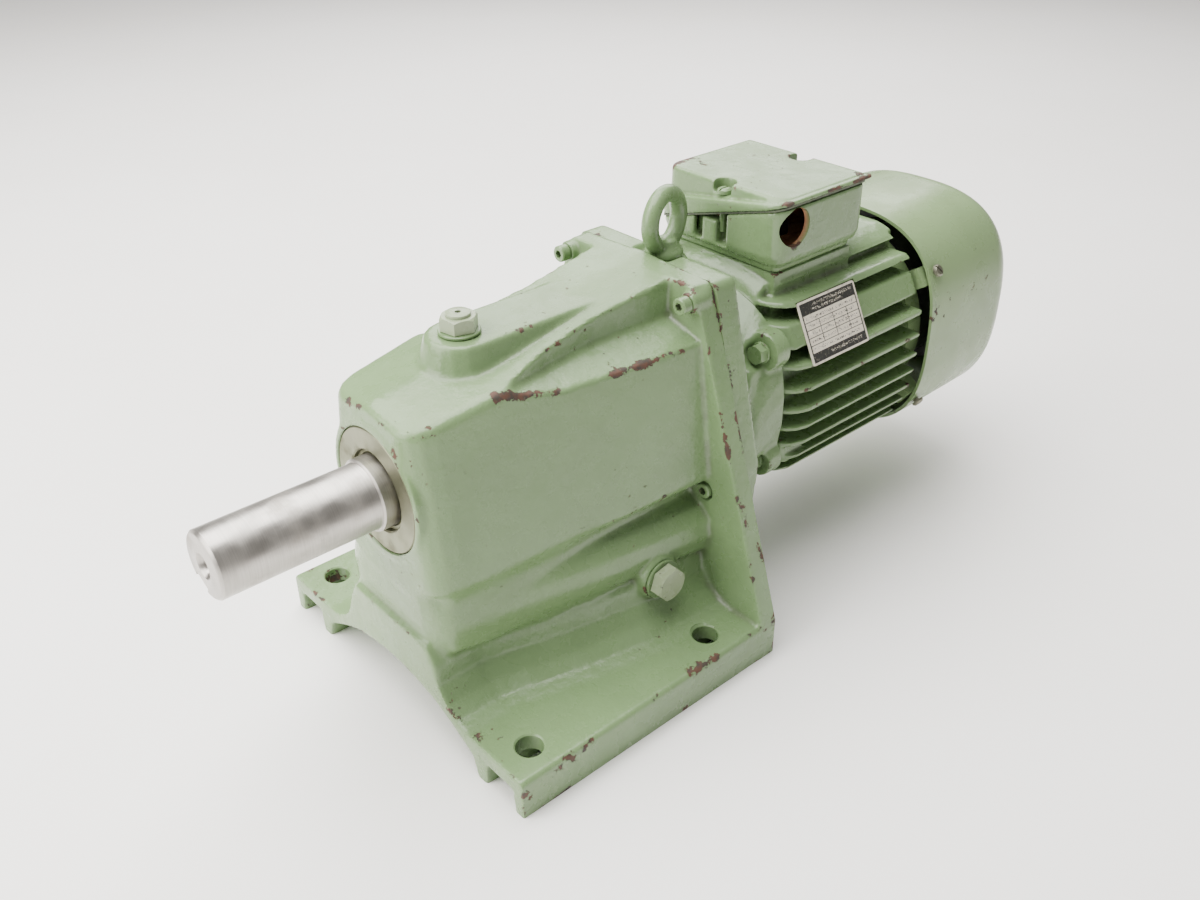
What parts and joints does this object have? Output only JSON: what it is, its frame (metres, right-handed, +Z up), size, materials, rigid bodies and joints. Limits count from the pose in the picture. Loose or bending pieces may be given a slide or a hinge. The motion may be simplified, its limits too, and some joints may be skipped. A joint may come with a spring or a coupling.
{
  "type": "gear_motor",
  "caption": "Foot-mounted helical gear motor with a cast case, finned motor, fan cover, side terminal box, spring-applied brake and a bare output shaft.",
  "frame": {"origin": "On the floor plane under the middle of the overall length, on the shaft's centre plane", "axes": "+X from the output shaft to the fan cover, +Y to the side away from the rating plate, +Z up"},
  "size_m": [0.5002, 0.2034, 0.226],
  "materials": {
    "reseda_green_paint": "semi-gloss green paint over cast iron",
    "ground_steel": "turned or ground steel",
    "dark_steel": "dark machined steel",
    "seal_rubber": "moulded rubber",
    "copper_winding": "enamelled copper",
    "core_laminations": "stacked electrical steel",
    "black_plastic": "moulded plastic",
    "friction_lining": "pressed friction lining",
    "zinc_plated": "zinc plated steel",
    "printed_plate": "printed aluminium plate",
    "seal_case": "pressed steel seal case"
  },
  "bodies": {
    "housing": {"gear_case": "reseda_green_paint", "motor_shield": "reseda_green_paint", "stator_housing": "reseda_green_paint", "brake_shield": "reseda_green_paint", "fan_cover": "reseda_green_paint", "terminal_box": "reseda_green_paint", "terminal_lid": "reseda_green_paint", "eye_bolt": "reseda_green_paint", "vent_plug": "reseda_green_paint", "level_plug": "reseda_green_paint", "case_screw_1": "reseda_green_paint", "case_screw_2": "reseda_green_paint", "case_screw_3": "reseda_green_paint", "case_screw_4": "reseda_green_paint", "tie_screw_1": "reseda_green_paint", "tie_screw_2": "reseda_green_paint", "tie_screw_3": "reseda_green_paint", "tie_screw_4": "reseda_green_paint", "output_bearing_front": "ground_steel", "output_bearing_rear": "ground_steel", "layshaft_bearing_front": "ground_steel", "layshaft_bearing_rear": "ground_steel", "motor_bearing_front": "ground_steel", "motor_bearing_rear": "ground_steel", "brake_spring_1": "ground_steel", "brake_spring_2": "ground_steel", "brake_spring_3": "ground_steel", "brake_magnet": "dark_steel", "motor_seal": "seal_rubber", "terminal_gasket": "seal_rubber", "stator_winding": "copper_winding", "brake_coil": "copper_winding", "stator_core": "core_laminations", "terminal_board": "black_plastic", "brake_screw_1": "zinc_plated", "brake_screw_2": "zinc_plated", "brake_screw_3": "zinc_plated", "fan_cover_screw_1": "zinc_plated", "fan_cover_screw_2": "zinc_plated", "fan_cover_screw_3": "zinc_plated", "fan_cover_screw_4": "zinc_plated", "lid_screw_1": "zinc_plated", "lid_screw_2": "zinc_plated", "vent_washer": "zinc_plated", "level_washer": "zinc_plated", "rating_plate": "printed_plate", "output_seal": "seal_case"},
    "output": {"output_shaft": "ground_steel", "output_wheel": "ground_steel", "output_wheel_key": "dark_steel"},
    "layshaft_body": {"layshaft": "ground_steel", "layshaft_wheel": "ground_steel"},
    "rotor": {"motor_shaft": "ground_steel", "motor_pinion": "ground_steel", "rotor_core": "core_laminations", "brake_hub": "dark_steel", "friction_disc": "friction_lining", "fan": "black_plastic"},
    "armature": {"brake_armature": "dark_steel"}
  },
  "joints": [
    {"name": "output_spin", "type": "hinge", "parent": "housing", "child": "output", "pos_m": [-0.16815, 0, 0.126], "axis": [1, 0, 0], "continuous": true},
    {"name": "layshaft_spin", "type": "hinge", "parent": "housing", "child": "layshaft_body", "pos_m": [-0.03265, 0, 0.0715], "axis": [1, 0, 0], "continuous": true},
    {"name": "rotor_spin", "type": "hinge", "parent": "housing", "child": "rotor", "pos_m": [0.09315, 0, 0.1135], "axis": [1, 0, 0], "continuous": true},
    {"name": "brake_release", "type": "slide", "parent": "housing", "child": "armature", "axis": [1, 0, 0], "range_m": [0, 0.0004]}
  ],
  "couplings": [
    {"joint": "layshaft_spin", "follows": "output_spin", "ratio": -2.8571},
    {"joint": "rotor_spin", "follows": "output_spin", "ratio": 10.476}
  ]
}
